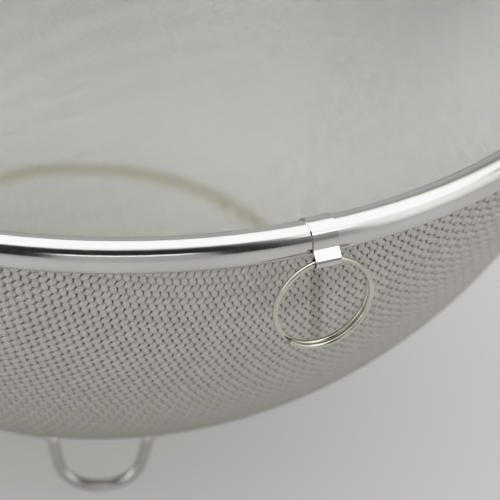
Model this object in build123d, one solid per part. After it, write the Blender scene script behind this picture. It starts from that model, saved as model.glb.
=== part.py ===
from build123d import *
import math
import os

# Double sieve strainer: two nested bowls of woven steel cloth held in one rolled rim,
# a wire foot under the bowl, and a split ring that hangs from a strap on the rim.
# Millimetres. The origin is on the bowl's axis, in the plane that the feet stand on.
# +Z is up and -Y is the front. An azimuth is measured from the front towards +X.

# Rim
RIM_RADIUS = 131.6          # axis of the bowl to the centre of the rolled tube
RIM_HEIGHT = 126.0          # ground to the centre of the rolled tube
TUBE_RADIUS = 4.0
STRIP_THICKNESS = 0.5
OUTER_LIP_ANGLE = -107.0    # where the roll's outer lip ends, from straight outwards
INNER_LIP_ANGLE = 194.0     # where the roll's inner lip ends
SEAM_GAP = 0.4              # between the ends of the rolled strip, under the strap
HOOP_WIRE_RADIUS = 1.2

# Bowl: (r / BOWL_RADIUS) ** WIDTH_POWER + (depth / BOWL_DEPTH) ** DEPTH_POWER = 1
BOWL_RADIUS = 130.42
BOWL_DEPTH = 121.0
WIDTH_POWER = 2.113
DEPTH_POWER = 1.694
OUTER_CLOTH = 1.8
INNER_CLOTH = 0.3
CLOTH_GAP = 0.05
HEM_TAIL = 0.5              # how far the outer cloth's turned hem comes down past the hoop
INNER_CLOTH_TOP = 0.6       # how far the inner cloth stands above the tube's centre
PROFILE_STEPS = 18

# Foot
FOOT_WIRE_RADIUS = 1.5
FOOT_CONTACT_RADIUS = 59.6  # where the foot's circle touches the outer cloth
FOOT_COUNT = 3
FOOT_AZIMUTH = 4.0
FOOT_CLEARANCE = 0.2        # between the foot's circle and the outer cloth, bridged by spot welds
FOOT_FLAT = 0.12            # depth of the worn flat under each foot
FOOT_REACH = 14.3           # half of the angle that a foot spans on its circle
FOOT_BEND_RADIUS = 10.0
LEG_LEAN = 12.0
SHOULDER_RADIUS = 3.0       # bend between a leg and the foot's circle

# Hanger strap and its ring
STRAP_AZIMUTH = 22.0
STRAP_WIDTH = 6.0
STRAP_THICKNESS = 0.4
STRAP_CLEARANCE = 0.06
STRAP_INNER_END = 194.0     # angle around the tube where the strap ends inside the bowl
CREASE_ANGLE = -7.0         # angle around the tube where the tab leaves it
TAB_SLOPE = -45.0
TAB_LENGTH = 2.55
EYE_BORE_RADIUS = 0.95
EYE_CURL = 275.0
RING_OUTER_RADIUS = 12.0
RING_WIRE_RADIUS = 0.65
RING_PITCH = 1.35           # distance between the two layers of the split ring
RING_LOW_END = 225.0        # outer layer's end, anticlockwise from the right, seen from outside
RING_HIGH_END = 16.0        # inner layer's end
FIT_GAP = 0.05              # small air gap between pieces that bear on each other

TUBE_CENTRE = (RIM_RADIUS, RIM_HEIGHT)


def polar(centre, radius, degrees):
    """The point at an angle from straight outwards, in the plane of (radius, height)."""
    turn = math.radians(degrees)
    return (centre[0] + radius * math.cos(turn), centre[1] + radius * math.sin(turn))


def place_at_azimuth(shape, azimuth):
    """Turn a shape that was made in the XZ plane to its azimuth."""
    return Rot(0, 0, azimuth - 90) * shape


def spin_round(section, degrees=360.0):
    """Revolve a section of the (radius, height) plane around the bowl's axis."""
    return revolve(Plane.XZ * section, Axis.Z, degrees)


def bowl_point(step, inset=0.0):
    """A point of the bowl's wall, from 0 at the rim to 1 at the bottom, set in from the outside."""
    turn = step * math.pi / 2
    across = math.cos(turn) ** (2 / WIDTH_POWER) if step < 1 else 0.0
    down = math.sin(turn) ** (2 / DEPTH_POWER)
    normal_r = WIDTH_POWER / BOWL_RADIUS * across ** (WIDTH_POWER - 1)
    normal_z = -DEPTH_POWER / BOWL_DEPTH * down ** (DEPTH_POWER - 1)
    size = math.hypot(normal_r, normal_z)
    radius = BOWL_RADIUS * across - inset * normal_r / size
    height = RIM_HEIGHT - BOWL_DEPTH * down - inset * normal_z / size
    return (radius, height)


def bowl_curve(inset):
    """The wall's curve from the rim to the axis, level at the bottom and upright at the rim."""
    points = [bowl_point(i / PROFILE_STEPS, inset) for i in range(PROFILE_STEPS + 1)]
    return Spline(*points, tangents=[(0, -1), (-1, 0)])


def closed_section(*edges):
    """A face in the (radius, height) plane from edges that meet end to end."""
    return make_face(Curve() + list(edges))


def make_rim_band():
    """A strip rolled into a tube with a slot for the cloths, and a butt seam under the strap."""
    inner_radius = TUBE_RADIUS - STRIP_THICKNESS
    sweep_angle = INNER_LIP_ANGLE - OUTER_LIP_ANGLE
    outside = CenterArc(TUBE_CENTRE, TUBE_RADIUS, OUTER_LIP_ANGLE, sweep_angle)
    inside = CenterArc(TUBE_CENTRE, inner_radius, OUTER_LIP_ANGLE, sweep_angle)
    section = closed_section(outside, inside, Line(outside @ 0, inside @ 0), Line(outside @ 1, inside @ 1))
    seam_angle = math.degrees(SEAM_GAP / RIM_RADIUS)
    band = spin_round(section, 360 - seam_angle)
    return place_at_azimuth(band, STRAP_AZIMUTH + seam_angle / 2)


def hoop_centre():
    """The hidden hoop stands just outside the outer cloth, level with the tube's centre."""
    return (BOWL_RADIUS + FIT_GAP + HOOP_WIRE_RADIUS, RIM_HEIGHT)


def make_rim_hoop():
    """The wire hoop that the outer cloth's hem is turned over."""
    section = Pos(*hoop_centre()) * Circle(HOOP_WIRE_RADIUS)
    return spin_round(section)


def make_outer_sieve():
    """The coarse cloth bowl, with its hem turned over the hoop."""
    outside = bowl_curve(0)
    inside = bowl_curve(OUTER_CLOTH)
    bend = HOOP_WIRE_RADIUS + FIT_GAP
    under_hem = CenterArc(hoop_centre(), bend, 180, -180)
    over_hem = CenterArc(hoop_centre(), bend + OUTER_CLOTH, 180, -180)
    tail = Vector(0, -HEM_TAIL)
    section = closed_section(
        outside,
        under_hem,
        Line(under_hem @ 1, under_hem @ 1 + tail),
        Line(under_hem @ 1 + tail, over_hem @ 1 + tail),
        Line(over_hem @ 1 + tail, over_hem @ 1),
        over_hem,
        inside,
        Line(inside @ 1, outside @ 1),
    )
    return spin_round(section)


def make_inner_sieve():
    """The fine cloth bowl, nested inside the coarse one."""
    outside = bowl_curve(OUTER_CLOTH + CLOTH_GAP)
    inside = bowl_curve(OUTER_CLOTH + CLOTH_GAP + INNER_CLOTH)
    rise = Vector(0, INNER_CLOTH_TOP)
    section = closed_section(
        outside,
        Line(outside @ 0, outside @ 0 + rise),
        Line(outside @ 0 + rise, inside @ 0 + rise),
        Line(inside @ 0 + rise, inside @ 0),
        inside,
        Line(inside @ 1, outside @ 1),
    )
    return spin_round(section)


def foot_circle_centre():
    """Radius and height of the foot wire's circle, resting against the outer cloth."""
    low, high = 0.0, 1.0
    while high - low > 1e-6:
        middle = (low + high) / 2
        if bowl_point(middle)[0] > FOOT_CONTACT_RADIUS:
            low = middle
        else:
            high = middle
    return bowl_point(low, -(FOOT_WIRE_RADIUS + FOOT_CLEARANCE))


def make_foot_path(circle_radius, circle_height):
    """Half of one foot's centre line, from the middle of its sole to the foot's circle."""
    bottom = FOOT_WIRE_RADIUS - FOOT_FLAT
    reach = math.radians(FOOT_REACH)
    lead = SHOULDER_RADIUS * math.tan(math.radians(90 - LEG_LEAN) / 2)
    circle_joint = Vector(circle_radius * math.cos(reach), circle_radius * math.sin(reach), circle_height)
    along_circle = Vector(-math.sin(reach), math.cos(reach), 0)
    corner = circle_joint - along_circle * lead

    upright = Vector(corner.X - circle_radius, 0, circle_height - bottom)
    rise = upright.length
    up = upright.normalized()
    sideways = Vector(0, 1, 0)
    sole = Vector(circle_radius, 0, bottom)

    def on_foot(along, height):
        return sole + sideways * along + up * height

    lean = math.radians(LEG_LEAN)
    leg_way = sideways * math.sin(lean) + up * math.cos(lean)
    bend_out = FOOT_BEND_RADIUS * math.cos(lean)
    bend_up = FOOT_BEND_RADIUS * (1 - math.sin(lean))
    half_sole = corner.Y - (rise - bend_up) * math.tan(lean) - bend_out
    sole_end = on_foot(half_sole, 0)
    leg_start = on_foot(half_sole + bend_out, bend_up)
    leg_end = corner - leg_way * lead
    flat = Line(on_foot(0, 0), sole_end)
    bend = TangentArc(sole_end, leg_start, tangent=sideways)
    leg = Line(leg_start, leg_end)
    shoulder = TangentArc(leg_end, circle_joint, tangent=leg_way)
    return [flat, bend, leg, shoulder]


def make_foot_wire():
    """One closed wire: a circle under the bowl, bent down into U-shaped feet."""
    circle_radius, circle_height = foot_circle_centre()
    spacing = 360 / FOOT_COUNT
    half_foot = make_foot_path(circle_radius, circle_height)
    half_arc = CenterArc((0, 0, circle_height), circle_radius, FOOT_REACH, spacing / 2 - FOOT_REACH)
    segments = []
    for path in [*half_foot, half_arc]:
        section = Plane(path @ 0, z_dir=path % 0) * Circle(FOOT_WIRE_RADIUS)
        segments.append(sweep(section, path=path))
    first, *others = segments
    half = first.fuse(*others)
    ground_cut = Pos(circle_radius, 0, -FOOT_WIRE_RADIUS) * Box(40, 40, 2 * FOOT_WIRE_RADIUS)
    half -= ground_cut
    halves = [half, mirror(half, about=Plane.XZ)]
    pieces = [Rot(0, 0, spacing * i) * piece for i in range(FOOT_COUNT) for piece in halves]
    first, *others = [place_at_azimuth(piece, FOOT_AZIMUTH) for piece in pieces]
    return first.fuse(*others)


def strap_middle_radius():
    """Radius of the middle of the strap's thickness, around the tube."""
    return TUBE_RADIUS + STRAP_CLEARANCE + STRAP_THICKNESS / 2


def tab_end():
    """Where the middle of the tab's thickness meets the curl of the eye."""
    crease = polar(TUBE_CENTRE, strap_middle_radius(), CREASE_ANGLE)
    return polar(crease, TAB_LENGTH, TAB_SLOPE)


def eye_centre():
    """Centre of the strap's rolled eye, which is also the axis that the ring swings about."""
    return polar(tab_end(), EYE_BORE_RADIUS + STRAP_THICKNESS / 2, TAB_SLOPE - 90)


def make_hanger_strap():
    """A strap around the tube, with a tab that ends in a rolled eye."""
    wrap = CenterArc(TUBE_CENTRE, strap_middle_radius(), STRAP_INNER_END, CREASE_ANGLE - STRAP_INNER_END)
    tab = Line(wrap @ 1, tab_end())
    curl_radius = EYE_BORE_RADIUS + STRAP_THICKNESS / 2
    curl = CenterArc(eye_centre(), curl_radius, TAB_SLOPE + 90, -EYE_CURL)
    centre_line = Wire([wrap.edge(), tab.edge(), curl.edge()])
    outline = centre_line.offset_2d(STRAP_THICKNESS / 2)
    section = Plane.XZ * Face(outline)
    strap = extrude(section, STRAP_WIDTH / 2, both=True)
    return place_at_azimuth(strap, STRAP_AZIMUTH)


def make_hanging_ring():
    """A split ring of about 1.4 turns, hanging straight down from the eye."""
    wire_circle = RING_OUTER_RADIUS - RING_WIRE_RADIUS
    half_width = STRAP_WIDTH / 2
    sagitta = wire_circle - math.sqrt(wire_circle ** 2 - half_width ** 2)
    turns = (RING_HIGH_END + 720 - RING_LOW_END) / 360
    turns_to_top = (RING_HIGH_END + 360 - 90) / 360
    coil = Helix(RING_PITCH, RING_PITCH * turns, wire_circle, lefthand=True)
    coil = Pos(0, 0, -RING_PITCH * turns_to_top) * Rot(0, 0, RING_HIGH_END) * coil
    section = Plane(coil @ 0, z_dir=coil % 0) * Circle(RING_WIRE_RADIUS)
    ring = sweep(section, path=coil, is_frenet=True)
    eye_radius, eye_height = eye_centre()
    drop = wire_circle - sagitta / 2
    hang = Plane((eye_radius, 0, eye_height - drop), x_dir=(0, 1, 0), z_dir=(1, 0, 0))
    return place_at_azimuth(hang * ring, STRAP_AZIMUTH)


PIECES = {
    "rim_band": make_rim_band,
    "rim_hoop": make_rim_hoop,
    "outer_sieve": make_outer_sieve,
    "inner_sieve": make_inner_sieve,
    "foot_wire": make_foot_wire,
    "hanger_strap": make_hanger_strap,
    "hanging_ring": make_hanging_ring,
}

os.makedirs("parts", exist_ok=True)
for name, make_piece in PIECES.items():
    export_step(make_piece(), f"parts/{name}.step")
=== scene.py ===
import math

import bpy
import numpy as np
from mathutils import Matrix, Vector


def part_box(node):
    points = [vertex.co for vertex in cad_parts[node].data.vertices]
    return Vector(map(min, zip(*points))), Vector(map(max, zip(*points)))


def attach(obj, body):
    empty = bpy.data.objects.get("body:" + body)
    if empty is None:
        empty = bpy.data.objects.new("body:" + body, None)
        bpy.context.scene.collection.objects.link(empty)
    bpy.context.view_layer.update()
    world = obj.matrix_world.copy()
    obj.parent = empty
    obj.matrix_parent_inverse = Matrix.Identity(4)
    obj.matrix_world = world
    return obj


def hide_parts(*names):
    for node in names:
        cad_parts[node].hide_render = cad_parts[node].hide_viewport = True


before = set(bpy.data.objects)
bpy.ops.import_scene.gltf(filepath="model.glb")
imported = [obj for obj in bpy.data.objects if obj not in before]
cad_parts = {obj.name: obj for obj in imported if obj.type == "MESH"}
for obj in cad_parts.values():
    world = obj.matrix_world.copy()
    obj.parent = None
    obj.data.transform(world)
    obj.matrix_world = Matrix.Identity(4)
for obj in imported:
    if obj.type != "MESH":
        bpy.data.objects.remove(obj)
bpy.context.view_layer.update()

# Looks of the double sieve strainer. Metres. The bowl stands on its wire feet at z = 0,
# its axis is the Z axis and -Y is the front. An azimuth runs from the front towards +X.
MM = 0.001

# The bowl's wall: (r / radius) ** WIDTH_POWER + (depth / bowl depth) ** DEPTH_POWER = 1
WIDTH_POWER = 2.113
DEPTH_POWER = 1.694
INNER_INSET = 1.85 * MM     # from the outside of the coarse cloth to the fine cloth

RIM_LOW, RIM_HIGH = (Vector(corner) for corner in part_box("rim_band"))
RIM_HEIGHT = (RIM_LOW.z + RIM_HIGH.z) / 2
BOWL_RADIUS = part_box("inner_sieve")[1][0] + INNER_INSET
BOWL_DEPTH = RIM_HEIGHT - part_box("outer_sieve")[0][2]

# Both cloths are pressed from flat woven discs
COARSE_CLOTH = {
    "pitch": 2.3 * MM,
    "neck": 0.78 * MM,      # half the width of a wire between two crossings
    "knuckle": 0.98 * MM,   # half its width on a crossing, where the cloth was pressed flat
    "half_thickness": 0.46 * MM,
    "crimp": 0.42 * MM,     # how far a wire's centre line leaves the middle of the cloth
    "inset": 0.9 * MM,
    "top": RIM_HEIGHT + 1.4 * MM,
    "warp_azimuth": 59.0,
    "sides": 8,
    "steps": 3,             # stretches of wire between two crossings
}
FINE_CLOTH = {
    "pitch": 1.25 * MM,
    "neck": 0.11 * MM,
    "knuckle": 0.11 * MM,
    "half_thickness": 0.11 * MM,
    "crimp": 0.08 * MM,
    "inset": INNER_INSET + 0.19 * MM,
    "top": RIM_HEIGHT + 0.6 * MM,
    "warp_azimuth": 80.0,
    "sides": 4,
    "steps": 1,
}
PIECE_FACES = 90000         # most faces in one piece of cloth
NET_ROUNDS = 12             # rounds of Newton's method for one crossing
OUT_OF_REACH = 9.0          # height given to the net's places that no crossing reached

# Parts of a noise that spread: a steel's colours, and its roughness or the table's colours.
# The roughness has the finer noise.
BLOTCH_SPAN = (0.35, 0.65)
NOISE_SPAN = (0.3, 0.7)
FINER_NOISE = 9

# Painted shade round both cloths near the foot's circle, where the foot wire shows through: distances from
# the axis (from, to, feather), colour
FOOT_SHADE_CIRCLE = (55.6 * MM, 56.6 * MM, 2.6 * MM)
FOOT_SHADE_COLOUR = (0.49, 0.475, 0.40)
# Painted shade that darkens each cloth towards the bottom of the bowl: distances from the axis (darkest,
# bright) and the colour of the shade
COARSE_BOTTOM_SHADE = ((0.080, 0.125), (0.43, 0.41, 0.37))
FINE_BOTTOM_SHADE = ((0.040, 0.075), (0.72, 0.745, 0.735))
# The streak below the strap: its slanting direction, width and height (from, to, feather), colour
STREAK_SLANT = (1.0, 0.0, 0.08)
STREAK_ACROSS = (58.2 * MM, 59.6 * MM, 1.3 * MM)
STREAK_HEIGHT = (90 * MM, 118 * MM, 6 * MM)
STREAK_COLOUR = (0.43, 0.40, 0.36)

# Camera: a long lens that looks down on the front of the rim
CAMERA_PLACE = (0.0, -0.65014, 0.50247)
CAMERA_PAN = 0.06575        # to the right
CAMERA_TILT = 0.62371       # down
CAMERA_ROLL = 0.06615
CAMERA_LENS = 216.0         # focal length in mm
CAMERA_SENSOR = 36.0        # width in mm
APERTURE = 8.5              # diameter in mm

# The room, layer over layer: name, azimuths (from, to, feather), elevations (from, to, feather)
# and brightness. Angles in degrees.
ROOM = (0.58, 0.58, 0.58)
ROOM_LAYERS = [
    ("dark room behind the camera", (-32, 32, 26), (12, 90, 8), (0.035, 0.033, 0.032)),
    ("window wall on the right", (60, 90, 10), (26, 90, 40), (1.40, 1.40, 1.41)),
    ("window wall on the left", (-130, -42, 14), (14, 90, 12), (1.35, 1.35, 1.36)),
    ("dim corner at the back right", (106, 165, 12), (-10, 45, 20), (0.36, 0.36, 0.36)),
    ("card in front of the table", (-5, 22, 4), (-10, 29, 1), (0.57, 0.57, 0.57)),
    ("bright edge of the card", (-5, 19, 4), (30.5, 33.0, 0.8), (3.2, 3.2, 3.2)),
]
# The soft box above: middle, width and depth in metres, brightness and how much of it fades out
BOX_PLACE = (0.0, 0.155, 1.15)
BOX_SIZE = (2.95, 1.585)
BOX_LIGHT = 1.95
BOX_FEATHER = 0.18
BOX_SOFT_END = 0.42         # the same along the box's right end
BOX_BLEND = (0.50, 0.66)    # where the box's edges change from sharp to soft, from left to right
LIGHT_COLOUR = (1.0, 0.985, 0.955)
# The lamp that brightens the strap: place, target, side of the square and brightness
LAMP_PLACE = (0.727, -0.600, 0.992)
LAMP_TARGET = (0.05, -0.123, 0.1245)
LAMP_SIZE = 0.16
LAMP_LIGHT = 3.1

# The table top: half its side, and its colours
TABLE_SIZE = 3.0
TABLE_COLOURS = ((0.225, 0.225, 0.23), (0.235, 0.235, 0.24))
# The soft shade on the table: its middle, and the distances over which it fades
SHADE_MIDDLE = (-0.025, -0.015, 0.0)
SHADE_REACH = (0.02, 0.15)
SHADE_GLOW = ((0.285, 0.284, 0.270), (0.41, 0.407, 0.402))  # the table's own light, near and far
# The picture's tones: light in the scene, and what is shown of it
SHOULDER_WHITE = 1.6
SHOULDER = [
    (0.15, 0.15), (0.30, 0.30), (0.45, 0.45), (0.60, 0.59), (0.85, 0.78), (1.15, 0.90), (1.6, 0.95),
]


# ---------------------------------------------------------------- woven cloth

def bowl_slope(points):
    """Value and gradient of the bowl's wall equation. The wall is upright above the rim."""
    radius = np.maximum(np.hypot(points[:, 0], points[:, 1]), 1e-9)
    depth = np.maximum(RIM_HEIGHT - points[:, 2], 0.0)
    value = (radius / BOWL_RADIUS) ** WIDTH_POWER + (depth / BOWL_DEPTH) ** DEPTH_POWER - 1
    outwards = WIDTH_POWER / BOWL_RADIUS * (radius / BOWL_RADIUS) ** (WIDTH_POWER - 1)
    downwards = DEPTH_POWER / BOWL_DEPTH * (depth / BOWL_DEPTH) ** (DEPTH_POWER - 1)
    gradient = np.stack(
        [outwards * points[:, 0] / radius, outwards * points[:, 1] / radius, -downwards], axis=1
    )
    return value, gradient


def meridian_points(pitch, top):
    """Radius and height at even spacing along the wall, from the bottom up past the rim."""
    turn = np.linspace(math.pi / 2, 0, 20001)
    radius = BOWL_RADIUS * np.clip(np.cos(turn), 0, 1) ** (2 / WIDTH_POWER)
    height = RIM_HEIGHT - BOWL_DEPTH * np.sin(turn) ** (2 / DEPTH_POWER)
    radius[0] = 0.0
    above = np.linspace(RIM_HEIGHT, top + 2 * pitch, 50)[1:]
    radius = np.append(radius, np.full(len(above), BOWL_RADIUS))
    height = np.append(height, above)
    length = np.append(0.0, np.cumsum(np.hypot(np.diff(radius), np.diff(height))))
    even = np.arange(0, length[-1], pitch)
    return np.interp(even, length, radius), np.interp(even, length, height)


def drape_quarter(pitch, top):
    """Crossings of a flat square cloth pressed onto a quarter of the bowl.

    Wires don't stretch, so each crossing is one pitch from the crossings before it on both
    of its wires. The first wire each way follows a meridian.
    """
    radius, height = meridian_points(pitch, top)
    count = len(radius)
    net = np.full((count, count, 3), np.nan)
    net[:, 0] = np.stack([radius, 0 * radius, height], axis=1)
    net[0, :] = np.stack([0 * radius, radius, height], axis=1)
    for diagonal in range(2, 2 * count - 1):
        row = np.arange(max(1, diagonal - count + 1), min(count - 1, diagonal - 1) + 1)
        column = diagonal - row
        before, beside = net[row - 1, column], net[row, column - 1]
        reached = (before[:, 2] < top + pitch) & (beside[:, 2] < top + pitch)
        row, column, before, beside = row[reached], column[reached], before[reached], beside[reached]
        if len(row) == 0:
            continue
        point = before + beside - net[row - 1, column - 1]
        for _ in range(NET_ROUNDS):
            value, gradient = bowl_slope(point)
            miss = np.stack([
                ((point - before) ** 2).sum(axis=1) - pitch ** 2,
                ((point - beside) ** 2).sum(axis=1) - pitch ** 2,
                value,
            ], axis=1)
            slopes = np.stack([2 * (point - before), 2 * (point - beside), gradient], axis=1)
            move = -np.linalg.solve(slopes, miss[:, :, None])[:, :, 0]
            reach = np.linalg.norm(move, axis=1, keepdims=True)
            point = point + move * np.minimum(1, 0.5 * pitch / np.maximum(reach, 1e-12))
        net[row, column] = point
    return net


def drape_bowl(pitch, top):
    """The whole net: a quarter of the bowl mirrored to all four."""
    quarter = drape_quarter(pitch, top)
    half = np.concatenate([quarter[:0:-1] * (-1, 1, 1), quarter])
    return np.concatenate([half[:, :0:-1] * (1, -1, 1), half], axis=1)


def wire_path(crossings, over, cloth):
    """Centre line of one wire through its crossings, and its two half axes along the way."""
    steps = cloth["steps"]
    _, normal = bowl_slope(crossings)
    normal /= np.linalg.norm(normal, axis=1, keepdims=True)
    place = np.arange((len(crossings) - 1) * steps + 1) / steps
    whole = np.arange(len(crossings))
    middle = np.stack([np.interp(place, whole, crossings[:, k]) for k in range(3)], axis=1)
    outwards = np.stack([np.interp(place, whole, normal[:, k]) for k in range(3)], axis=1)
    wave = over * np.cos(math.pi * place)
    centre = middle + outwards * (cloth["crimp"] * wave - cloth["inset"])[:, None]
    along = np.gradient(centre, axis=0)
    along /= np.linalg.norm(along, axis=1, keepdims=True)
    across = np.cross(along, outwards)
    across /= np.linalg.norm(across, axis=1, keepdims=True)
    half_width = cloth["neck"] + (cloth["knuckle"] - cloth["neck"]) * np.cos(math.pi * place) ** 2
    return centre, across * half_width[:, None], np.cross(across, along) * cloth["half_thickness"]


def wire_mesh(crossings, over, cloth):
    """Vertices and four-sided faces of one closed wire."""
    sides = cloth["sides"]
    centre, across, outwards = wire_path(crossings, over, cloth)
    turn = (np.arange(sides) + 0.5) * 2 * math.pi / sides
    ring_out = np.cos(turn)[None, :, None] * outwards[:, None]
    ring_across = np.sin(turn)[None, :, None] * across[:, None]
    points = (centre[:, None] + ring_out + ring_across).reshape(-1, 3)
    start = np.arange(len(centre) - 1)[:, None] * sides
    side = np.arange(sides)[None, :]
    after = (side + 1) % sides
    skin = np.stack([start + side, start + after, start + after + sides, start + side + sides], axis=2)
    skin = skin.reshape(-1, 4)
    last = (len(centre) - 1) * sides
    cap = np.array([[0, k, k + 1, k + 2] for k in range(1, sides - 2, 2)])
    return points, np.concatenate([skin, cap[:, ::-1], cap + last])


def wires_of(net, cloth, first_over):
    """Every wire of one direction of the cloth, as (vertices, faces)."""
    wires = []
    for number, line in enumerate(net):
        inside = np.flatnonzero(np.nan_to_num(line[:, 2], nan=OUT_OF_REACH) < cloth["top"])
        if len(inside) == 0:
            continue
        for run in np.split(inside, np.flatnonzero(np.diff(inside) > 1) + 1):
            if len(run) < 3:
                continue
            over = first_over if (number + run[0]) % 2 == 0 else -first_over
            wires.append(wire_mesh(line[run], over, cloth))
    return wires


def turned(points, azimuth):
    """Points turned so that the +X axis comes to an azimuth."""
    turn = math.radians(azimuth - 90)
    c, s = math.cos(turn), math.sin(turn)
    return points @ np.array([[c, s, 0], [-s, c, 0], [0, 0, 1]])


def strip_layout(wires, cloth):
    """Texture corners: each wire's skin laid out flat as a strip, with its end caps above the strip."""
    sides = cloth["sides"]
    caps = sides - 2
    square = np.array([[0, 0], [0, 1], [1, 1], [1, 0]])
    strips, longest = [], 2 * caps
    for row, (_, faces) in enumerate(wires):
        length = (len(faces) - caps) // sides
        longest = max(longest, length)
        along, around = np.divmod(np.arange(length * sides), sides)
        skin = np.stack([along, around], axis=1)[:, None] + square
        cap = np.stack([2 * np.arange(caps), np.full(caps, sides + 0.6)], axis=1)[:, None] + 0.8 * square
        strips.append(np.concatenate([skin, cap]) + (0, row * (sides + 2)))
    return np.concatenate(strips).reshape(-1, 2) / (longest, len(wires) * (sides + 2))


def make_cloth_piece(name, wires, material, cloth):
    """One mesh object from some of a cloth's wires."""
    points, faces, first = [], [], 0
    for wire_points, wire_faces in wires:
        points.append(wire_points)
        faces.append(wire_faces + first)
        first += len(wire_points)
    points = turned(np.concatenate(points), cloth["warp_azimuth"])
    faces = np.concatenate(faces)
    mesh = bpy.data.meshes.new(name)
    mesh.vertices.add(len(points))
    mesh.vertices.foreach_set("co", points.astype(np.float32).ravel())
    mesh.loops.add(faces.size)
    mesh.loops.foreach_set("vertex_index", faces.astype(np.int32).ravel())
    mesh.polygons.add(len(faces))
    mesh.polygons.foreach_set("loop_start", np.arange(0, faces.size, 4, dtype=np.int32))
    mesh.polygons.foreach_set("use_smooth", np.ones(len(faces), dtype=bool))
    mesh.update(calc_edges=True)
    layout = mesh.uv_layers.new(name="OFBake")
    layout.data.foreach_set("uv", strip_layout(wires, cloth).astype(np.float32).ravel())
    mesh.materials.append(material)
    piece = bpy.data.objects.new(name, mesh)
    bpy.context.scene.collection.objects.link(piece)
    return piece


def make_cloth(name, cloth, material, node):
    """A bowl of plain-woven wire cloth that stands for one CAD node."""
    net = drape_bowl(cloth["pitch"], cloth["top"])
    for direction, lines, over in (("warp", net, 1), ("weft", net.transpose(1, 0, 2), -1)):
        wires = wires_of(lines, cloth, over)
        groups, room = [[]], PIECE_FACES
        for wire in wires:
            if len(wire[1]) > room:
                groups.append([])
                room = PIECE_FACES
            groups[-1].append(wire)
            room -= len(wire[1])
        for number, group in enumerate(groups, start=1):
            piece = make_cloth_piece(f"{name}_{direction}_{number}", group, material, cloth)
            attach(piece, "bowl")
            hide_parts(node)


# ---------------------------------------------------------------- materials

def new_material(name):
    """An empty metal material: (material, its node tree, its Principled node)."""
    material = bpy.data.materials.new(name)
    material.use_nodes = True
    tree = material.node_tree
    shader = tree.nodes["Principled BSDF"]
    shader.inputs["Metallic"].default_value = 1.0
    return material, tree, shader


def add_noise(tree, scale, detail):
    """A noise texture in the object's own coordinates."""
    place = tree.nodes.new("ShaderNodeTexCoord")
    noise = tree.nodes.new("ShaderNodeTexNoise")
    noise.inputs["Scale"].default_value = scale
    noise.inputs["Detail"].default_value = detail
    tree.links.new(place.outputs["Object"], noise.inputs["Vector"])
    return noise


def add_ramp(tree, source, low, high, dark, light):
    """A colour ramp from dark at low to light at high."""
    ramp = tree.nodes.new("ShaderNodeValToRGB")
    ramp.color_ramp.elements[0].position = low
    ramp.color_ramp.elements[0].color = (*dark, 1.0)
    ramp.color_ramp.elements[1].position = high
    ramp.color_ramp.elements[1].color = (*light, 1.0)
    tree.links.new(source, ramp.inputs["Fac"])
    return ramp


def add_range(tree, source, low, high, to_low, to_high):
    """A value mapped from one range to another."""
    node = tree.nodes.new("ShaderNodeMapRange")
    node.inputs["From Min"].default_value = low
    node.inputs["From Max"].default_value = high
    node.inputs["To Min"].default_value = to_low
    node.inputs["To Max"].default_value = to_high
    tree.links.new(source, node.inputs["Value"])
    return node


def add_math(tree, operation, first, second=None):
    """The output of a math node with one or two linked inputs."""
    node = tree.nodes.new("ShaderNodeMath")
    node.operation = operation
    tree.links.new(first, node.inputs[0])
    if second is not None:
        tree.links.new(second, node.inputs[1])
    return node.outputs["Value"]


def add_window(tree, value, low, high, feather):
    """1 where a value is between low and high, falling smoothly to 0 over the feather."""
    rise = add_range(tree, value, low - feather, low, 0.0, 1.0)
    fall = add_range(tree, value, high, high + feather, 1.0, 0.0)
    rise.interpolation_type = "SMOOTHSTEP"
    fall.interpolation_type = "SMOOTHSTEP"
    return add_math(tree, "MULTIPLY", rise.outputs["Result"], fall.outputs["Result"])


def add_layer(tree, below, mask, colour):
    """A colour laid over the colour below it, where the mask is 1."""
    mix = tree.nodes.new("ShaderNodeMix")
    mix.data_type = "RGBA"
    colours = [socket for socket in mix.inputs if socket.type == "RGBA"]
    tree.links.new(mask, mix.inputs["Factor"])
    tree.links.new(below, colours[0])
    colours[1].default_value = (*colour, 1.0)
    return next(socket for socket in mix.outputs if socket.type == "RGBA")


def add_bowl_shade(tree, colour, bottom_shade_reach, bottom_shade_colour):
    """A colour darkened by painted shade towards the bottom of the bowl, with an olive band of painted
    shade along a circle.
    """
    place = tree.nodes.new("ShaderNodeTexCoord")
    flat = tree.nodes.new("ShaderNodeVectorMath")
    flat.operation = "MULTIPLY"
    flat.inputs[1].default_value = (1.0, 1.0, 0.0)
    length = tree.nodes.new("ShaderNodeVectorMath")
    length.operation = "LENGTH"
    tree.links.new(place.outputs["Object"], flat.inputs[0])
    tree.links.new(flat.outputs["Vector"], length.inputs[0])
    distance = length.outputs["Value"]
    # Painted shade: darker towards the bottom of the bowl
    painted_shade = add_range(tree, distance, *bottom_shade_reach, 1.0, 0.0).outputs["Result"]
    colour = add_layer(tree, colour, painted_shade, bottom_shade_colour)
    # Painted shade of the foot wire where it shows through the cloth
    circle = add_window(tree, distance, *FOOT_SHADE_CIRCLE)
    return add_layer(tree, colour, circle, FOOT_SHADE_COLOUR)


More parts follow.
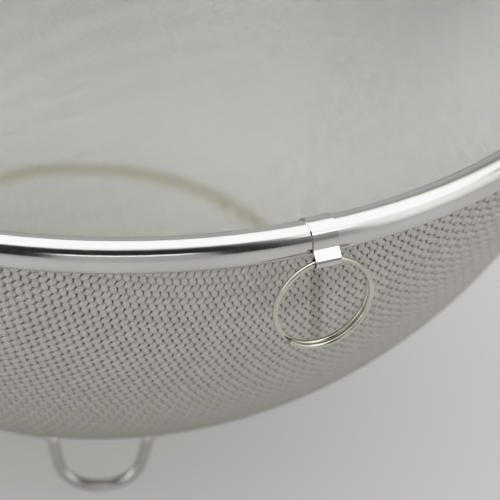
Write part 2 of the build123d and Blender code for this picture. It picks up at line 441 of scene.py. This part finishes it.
def add_strap_streak(tree, colour):
    """A faint brown streak down the cloth below the strap."""
    place = tree.nodes.new("ShaderNodeTexCoord")
    parts = tree.nodes.new("ShaderNodeSeparateXYZ")
    slant = tree.nodes.new("ShaderNodeVectorMath")
    slant.operation = "DOT_PRODUCT"
    slant.inputs[1].default_value = STREAK_SLANT
    tree.links.new(place.outputs["Object"], parts.inputs["Vector"])
    tree.links.new(place.outputs["Object"], slant.inputs[0])
    across = add_window(tree, slant.outputs["Value"], *STREAK_ACROSS)
    upward = add_window(tree, parts.outputs["Z"], *STREAK_HEIGHT)
    front = add_range(tree, parts.outputs["Y"], -0.01, 0.01, 1.0, 0.0).outputs["Result"]
    mask = add_math(tree, "MULTIPLY", add_math(tree, "MULTIPLY", across, upward), front)
    return add_layer(tree, colour, mask, STREAK_COLOUR)


def steel(name, dark, light, rough, scale, painted_shade=None, streak=False):
    """Stainless steel with soft blotches of colour and fine changes of roughness."""
    material, tree, shader = new_material(name)
    blotch = add_noise(tree, scale, 4.0)
    ramp = add_ramp(tree, blotch.outputs["Fac"], *BLOTCH_SPAN, dark, light)
    colour = ramp.outputs["Color"]
    # Painted shade towards the bottom of the bowl and along the foot's circle
    if painted_shade:
        colour = add_bowl_shade(tree, colour, *painted_shade)
    if streak:
        colour = add_strap_streak(tree, colour)
    tree.links.new(colour, shader.inputs["Base Color"])
    fine = add_noise(tree, scale * FINER_NOISE, 6.0)
    roughness = add_range(tree, fine.outputs["Fac"], *NOISE_SPAN, *rough)
    tree.links.new(roughness.outputs["Result"], shader.inputs["Roughness"])
    return material


def paint_node(node, material):
    """Give a carried-over CAD node its material."""
    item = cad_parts[node]
    item.data.materials.clear()
    item.data.materials.append(material)


# ---------------------------------------------------------------- studio

def make_floor():
    """A pale table top that dims softly under the bowl."""
    mesh = bpy.data.meshes.new("floor")
    size = TABLE_SIZE
    corners = [(-size, -size, 0), (size, -size, 0), (size, size, 0), (-size, size, 0)]
    mesh.from_pydata(corners, [], [(0, 1, 2, 3)])
    floor = bpy.data.objects.new("floor", mesh)
    bpy.context.scene.collection.objects.link(floor)
    material = bpy.data.materials.new("table_top")
    material.use_nodes = True
    tree = material.node_tree
    shader = tree.nodes["Principled BSDF"]
    shader.inputs["Roughness"].default_value = 1.0
    shader.inputs["Specular IOR Level"].default_value = 0.1
    noise = add_noise(tree, 3.0, 2.0)
    ramp = add_ramp(tree, noise.outputs["Fac"], *NOISE_SPAN, *TABLE_COLOURS)
    tree.links.new(ramp.outputs["Color"], shader.inputs["Base Color"])
    place = tree.nodes.new("ShaderNodeTexCoord")
    distance = tree.nodes.new("ShaderNodeVectorMath")
    distance.operation = "DISTANCE"
    distance.inputs[1].default_value = SHADE_MIDDLE
    tree.links.new(place.outputs["Object"], distance.inputs[0])
    glow = add_ramp(tree, distance.outputs["Value"], *SHADE_REACH, *SHADE_GLOW)
    tree.links.new(glow.outputs["Color"], shader.inputs["Emission Color"])
    shader.inputs["Emission Strength"].default_value = 1.0
    mesh.materials.append(material)


def make_area_light(name, place, target, width, height, brightness):
    """A soft box at a place, facing a target."""
    light = bpy.data.lights.new(name, "AREA")
    light.shape = "RECTANGLE"
    light.size = width
    light.size_y = height
    light.energy = brightness * math.pi * width * height
    item = bpy.data.objects.new(name, light)
    item.location = place
    item.rotation_euler = (Vector(target) - Vector(place)).to_track_quat("-Z", "Y").to_euler()
    bpy.context.scene.collection.objects.link(item)
    light.color = LIGHT_COLOUR
    return light


def make_soft_box():
    """The box above the table, which fades out towards its edges."""
    x, y, _ = BOX_PLACE
    light = make_area_light("overhead_box", BOX_PLACE, (x, y, 0.0), *BOX_SIZE, BOX_LIGHT)
    light.use_nodes = True
    tree = light.node_tree
    place = tree.nodes.new("ShaderNodeNewGeometry")
    parts = tree.nodes.new("ShaderNodeSeparateXYZ")
    tree.links.new(place.outputs["Parametric"], parts.inputs["Vector"])
    low, high = BOX_FEATHER, 1 - BOX_FEATHER
    across = add_window(tree, parts.outputs["X"], low, high, BOX_FEATHER)
    sharp = add_window(tree, parts.outputs["Y"], low, high, BOX_FEATHER)
    soft = add_window(tree, parts.outputs["Y"], BOX_SOFT_END, 1 - BOX_SOFT_END, BOX_SOFT_END)
    towards_right = add_range(tree, parts.outputs["X"], *BOX_BLEND, 0.0, 1.0).outputs["Result"]
    towards_left = add_range(tree, parts.outputs["X"], *BOX_BLEND, 1.0, 0.0).outputs["Result"]
    sharp = add_math(tree, "MULTIPLY", sharp, towards_left)
    soft = add_math(tree, "MULTIPLY", soft, towards_right)
    strength = add_math(tree, "MULTIPLY", across, add_math(tree, "ADD", sharp, soft))
    tree.links.new(strength, tree.nodes["Emission"].inputs["Strength"])


def make_world():
    """A pale grey room, with its windows, dark parts and card laid over it."""
    world = bpy.data.worlds.new("studio")
    world.use_nodes = True
    tree = world.node_tree
    place = tree.nodes.new("ShaderNodeTexCoord")
    parts = tree.nodes.new("ShaderNodeSeparateXYZ")
    tree.links.new(place.outputs["Generated"], parts.inputs["Vector"])
    right, back, up = (parts.outputs[axis] for axis in "XYZ")
    elevation = add_math(tree, "ARCSINE", up)
    front = add_range(tree, back, -1.0, 1.0, 1.0, -1.0).outputs["Result"]
    azimuth = add_math(tree, "ARCTAN2", right, front)

    room = tree.nodes.new("ShaderNodeRGB")
    room.outputs["Color"].default_value = (*ROOM, 1.0)
    colour = room.outputs["Color"]
    for _, azimuths, elevations, brightness in ROOM_LAYERS:
        across = add_window(tree, azimuth, *(math.radians(angle) for angle in azimuths))
        upward = add_window(tree, elevation, *(math.radians(angle) for angle in elevations))
        colour = add_layer(tree, colour, add_math(tree, "MULTIPLY", across, upward), brightness)
    tree.links.new(colour, tree.nodes["Background"].inputs["Color"])
    bpy.context.scene.world = world


def make_camera():
    """The camera, focused on the strap at the front of the rim."""
    pan, tilt, roll = CAMERA_PAN, CAMERA_TILT, CAMERA_ROLL
    forward = Vector((math.sin(pan) * math.cos(tilt), math.cos(pan) * math.cos(tilt), -math.sin(tilt)))
    level = Vector((math.cos(pan), -math.sin(pan), 0.0))
    upward = level.cross(forward)
    right = level * math.cos(roll) + upward * math.sin(roll)
    up = upward * math.cos(roll) - level * math.sin(roll)
    camera = bpy.data.objects.new("camera", bpy.data.cameras.new("camera"))
    camera.matrix_world = Matrix((
        (right.x, up.x, -forward.x, CAMERA_PLACE[0]),
        (right.y, up.y, -forward.y, CAMERA_PLACE[1]),
        (right.z, up.z, -forward.z, CAMERA_PLACE[2]),
        (0.0, 0.0, 0.0, 1.0),
    ))
    camera.data.lens = CAMERA_LENS
    camera.data.sensor_width = CAMERA_SENSOR
    camera.data.clip_start = 0.01
    strap_low, strap_high = (Vector(corner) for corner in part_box("hanger_strap"))
    focus = (strap_low + strap_high) / 2
    camera.data.dof.use_dof = True
    target = bpy.data.objects.new("focus", None)
    target.location = (0.0, 0.0, focus.z + (focus.x * forward.x + focus.y * forward.y) / forward.z)
    bpy.context.scene.collection.objects.link(target)
    camera.data.dof.focus_object = target
    camera.data.dof.aperture_fstop = CAMERA_LENS / APERTURE
    bpy.context.scene.collection.objects.link(camera)
    bpy.context.scene.camera = camera


def soften_highlights():
    """Plain tones up to the middle greys and a soft shoulder above them, like a photographic print."""
    view = bpy.context.scene.view_settings
    view.view_transform = "Standard"
    view.use_curve_mapping = True
    view.curve_mapping.white_level = (SHOULDER_WHITE, SHOULDER_WHITE, SHOULDER_WHITE)
    curve = view.curve_mapping.curves[3]
    curve.points[-1].location = (1.0, SHOULDER[-1][1])
    for light, shown in SHOULDER[:-1]:
        curve.points.new(light / SHOULDER_WHITE, shown)
    view.curve_mapping.update()


# ---------------------------------------------------------------- scene

polished = steel(
    "polished_steel", dark=(0.57, 0.555, 0.525), light=(0.61, 0.595, 0.565), rough=(0.10, 0.14), scale=60.0,
)
wire_steel = steel(
    "steel_wire", dark=(0.56, 0.54, 0.51), light=(0.66, 0.64, 0.61), rough=(0.08, 0.16), scale=120.0,
)
ring_steel = steel(
    "ring_wire", dark=(0.50, 0.475, 0.415), light=(0.60, 0.57, 0.50), rough=(0.10, 0.18), scale=120.0,
)
coarse = steel(
    "coarse_cloth", dark=(0.51, 0.49, 0.455), light=(0.56, 0.54, 0.50), rough=(0.38, 0.48), scale=300.0,
    painted_shade=COARSE_BOTTOM_SHADE, streak=True,
)
# Painted light: the fine cloth is painted near white, far lighter than the coarse cloth of the same steel,
# so the inside of the bowl reads brightly lit
fine = steel(
    "fine_cloth", dark=(0.90, 0.935, 0.925), light=(0.95, 0.985, 0.975), rough=(0.35, 0.45), scale=300.0,
    painted_shade=FINE_BOTTOM_SHADE,
)

paint_node("rim_band", polished)
paint_node("hanger_strap", polished)
paint_node("rim_hoop", wire_steel)
paint_node("foot_wire", wire_steel)
paint_node("hanging_ring", ring_steel)
make_cloth("coarse_cloth", COARSE_CLOTH, coarse, "outer_sieve")
make_cloth("fine_cloth", FINE_CLOTH, fine, "inner_sieve")

make_floor()
make_soft_box()
make_area_light("right_lamp", LAMP_PLACE, LAMP_TARGET, LAMP_SIZE, LAMP_SIZE, LAMP_LIGHT)
make_world()
make_camera()
soften_highlights()
